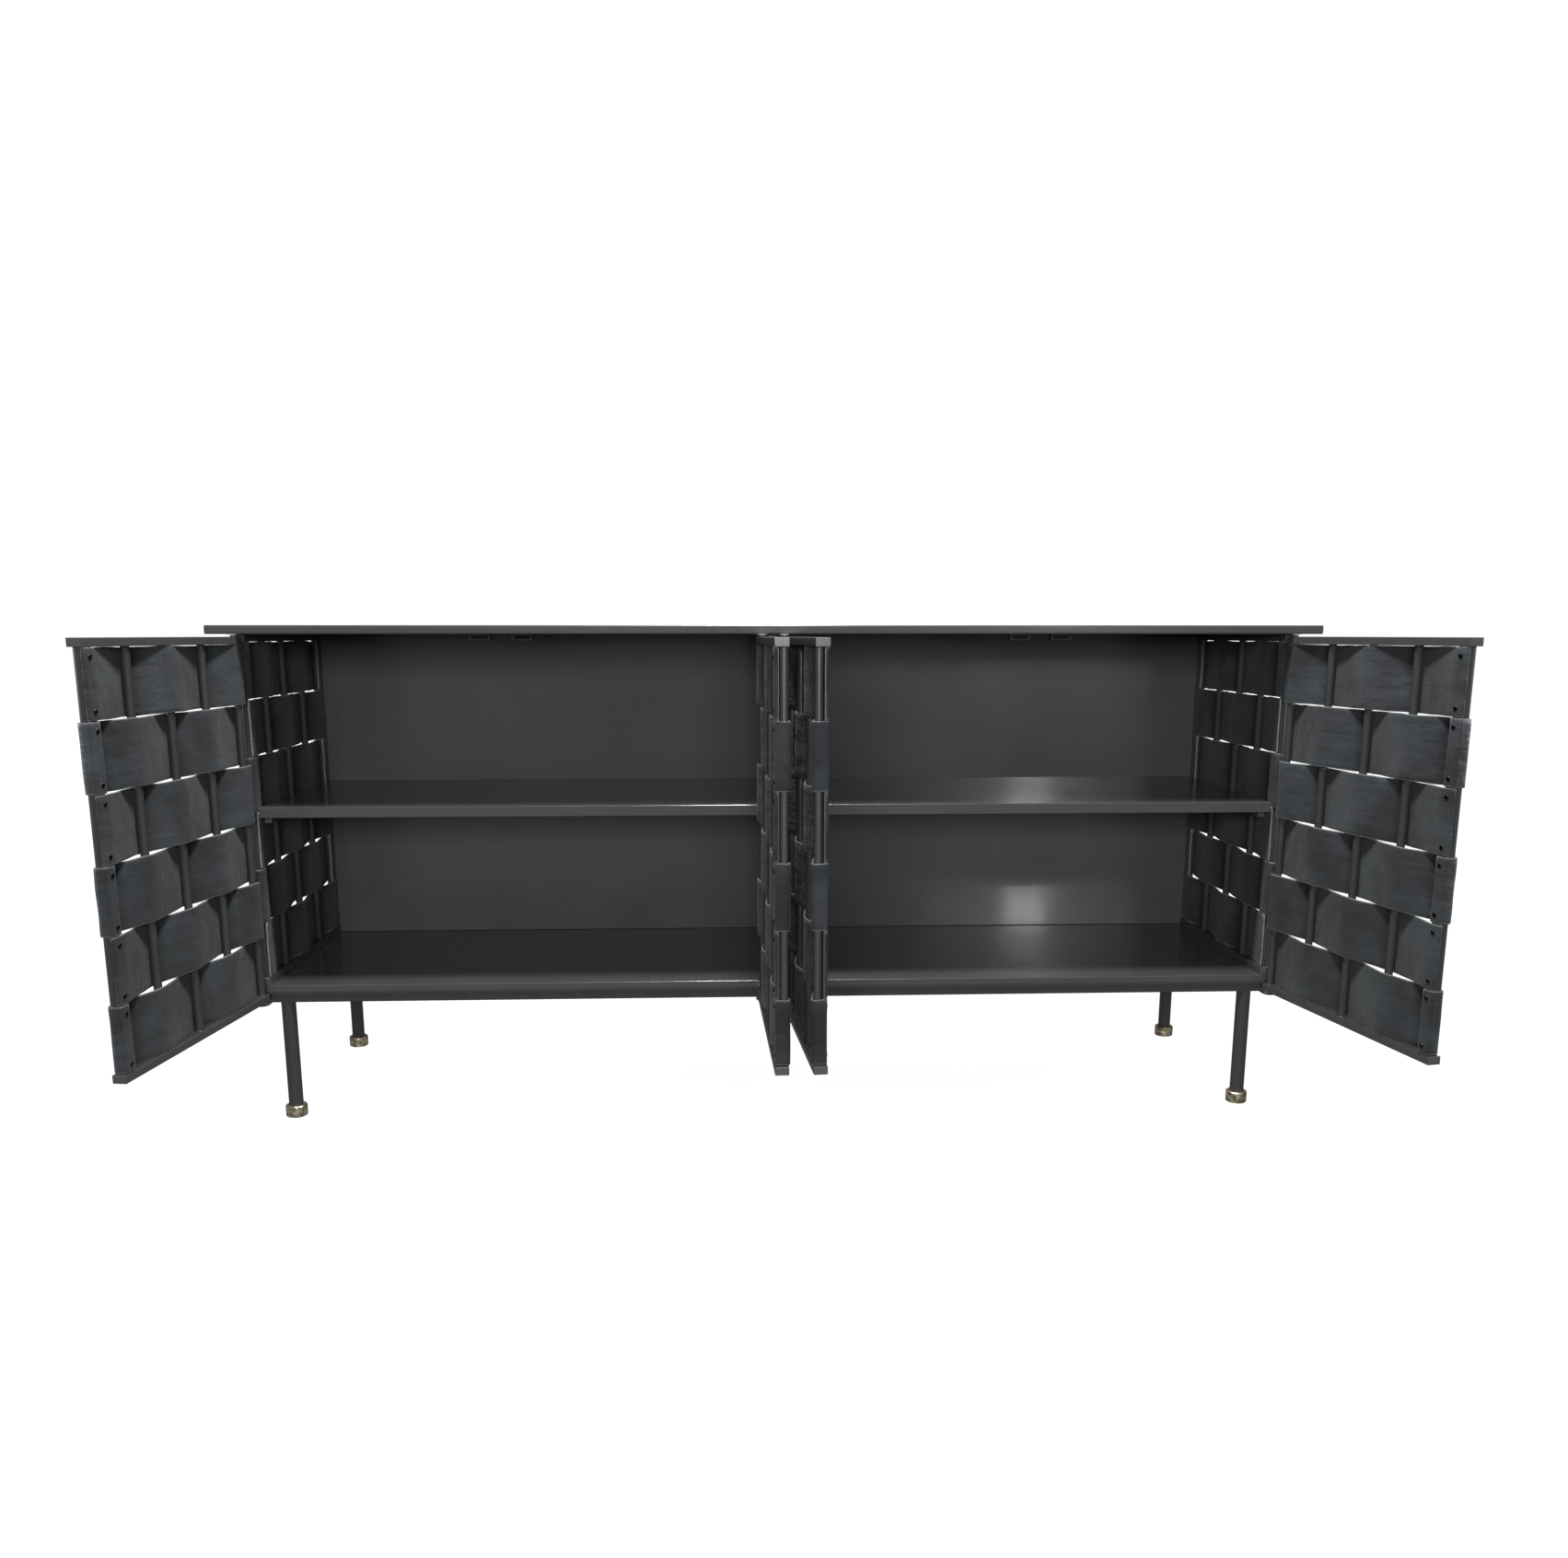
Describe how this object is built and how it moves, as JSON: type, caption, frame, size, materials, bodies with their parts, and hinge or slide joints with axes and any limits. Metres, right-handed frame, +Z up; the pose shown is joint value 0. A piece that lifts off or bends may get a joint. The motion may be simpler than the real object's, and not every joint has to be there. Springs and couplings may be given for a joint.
{
  "type": "sideboard buffet",
  "caption": "Black sideboard buffet on slim steel legs with brass feet; woven strap doors hinged at ends and centre stand open over two shelved bays; woven strap sides.",
  "frame": {"origin": "on the ground, below the middle of the whole outline with the doors standing open as drawn", "axes": "+X towards the right-hand end seen from the front, +Y towards the back, +Z up; the doors open towards -Y"},
  "size_m": [1.8684, 0.8676, 0.83],
  "materials": {
    "black_lacquer": "black high-gloss lacquer on board",
    "black_steel": "satin black paint on steel",
    "strap_leather": "thick black strap, satin, softly creased",
    "antique_brass": "pale antique brass, lightly textured",
    "screw_steel": "blackened pan-head screws",
    "pin_steel": "bright ground pin",
    "nylon": "natural nylon",
    "catch_plastic": "black moulded housing",
    "magnet_steel": "plated magnet face"
  },
  "bodies": {
    "carcass": {"top_panel": "black_lacquer", "floor_panel": "black_lacquer", "base_frame": "black_steel", "back_panel": "black_lacquer", "centre_divider": "black_lacquer", "shelf_left": "black_lacquer", "shelf_right": "black_lacquer", "shelf_cleats": "black_steel", "pivot_bushes": "nylon", "catch_housings": "catch_plastic", "catch_magnets": "magnet_steel", "leg_front_left": "black_steel", "leg_front_right": "black_steel", "leg_rear_left": "black_steel", "leg_rear_right": "black_steel", "foot_front_left": "antique_brass", "foot_front_right": "antique_brass", "foot_rear_left": "antique_brass", "foot_rear_right": "antique_brass", "side_frame_left": "black_steel", "side_frame_right": "black_steel", "side_straps_left": "strap_leather", "side_straps_right": "strap_leather"},
    "door_left_outer": {"door_left_outer_frame": "black_steel", "door_left_outer_pins": "pin_steel", "door_left_outer_screws": "screw_steel", "door_left_outer_strap_1": "strap_leather", "door_left_outer_strap_2": "strap_leather", "door_left_outer_strap_3": "strap_leather", "door_left_outer_strap_4": "strap_leather", "door_left_outer_strap_5": "strap_leather", "door_left_outer_strap_6": "strap_leather"},
    "door_left_centre": {"door_left_centre_frame": "black_steel", "door_left_centre_pins": "pin_steel", "door_left_centre_screws": "screw_steel", "door_left_centre_strap_1": "strap_leather", "door_left_centre_strap_2": "strap_leather", "door_left_centre_strap_3": "strap_leather", "door_left_centre_strap_4": "strap_leather", "door_left_centre_strap_5": "strap_leather", "door_left_centre_strap_6": "strap_leather"},
    "door_right_centre": {"door_right_centre_frame": "black_steel", "door_right_centre_pins": "pin_steel", "door_right_centre_screws": "screw_steel", "door_right_centre_strap_1": "strap_leather", "door_right_centre_strap_2": "strap_leather", "door_right_centre_strap_3": "strap_leather", "door_right_centre_strap_4": "strap_leather", "door_right_centre_strap_5": "strap_leather", "door_right_centre_strap_6": "strap_leather"},
    "door_right_outer": {"door_right_outer_frame": "black_steel", "door_right_outer_pins": "pin_steel", "door_right_outer_screws": "screw_steel", "door_right_outer_strap_1": "strap_leather", "door_right_outer_strap_2": "strap_leather", "door_right_outer_strap_3": "strap_leather", "door_right_outer_strap_4": "strap_leather", "door_right_outer_strap_5": "strap_leather", "door_right_outer_strap_6": "strap_leather"}
  },
  "joints": [
    {"name": "door_left_outer_hinge", "type": "hinge", "parent": "carcass", "child": "door_left_outer", "pos_m": [-0.86901, -0.0142, 0.51125], "axis": [0, 0, -1], "range_deg": [-97.5, 12.5]},
    {"name": "door_left_centre_hinge", "type": "hinge", "parent": "carcass", "child": "door_left_centre", "pos_m": [-0.02701, -0.0142, 0.51125], "axis": [0, 0, 1], "range_deg": [-92, 0]},
    {"name": "door_right_centre_hinge", "type": "hinge", "parent": "carcass", "child": "door_right_centre", "pos_m": [0.00899, -0.0142, 0.51125], "axis": [0, 0, -1], "range_deg": [-85.5, 3.5]},
    {"name": "door_right_outer_hinge", "type": "hinge", "parent": "carcass", "child": "door_right_outer", "pos_m": [0.85099, -0.0142, 0.51125], "axis": [0, 0, 1], "range_deg": [-100, 10]}
  ]
}
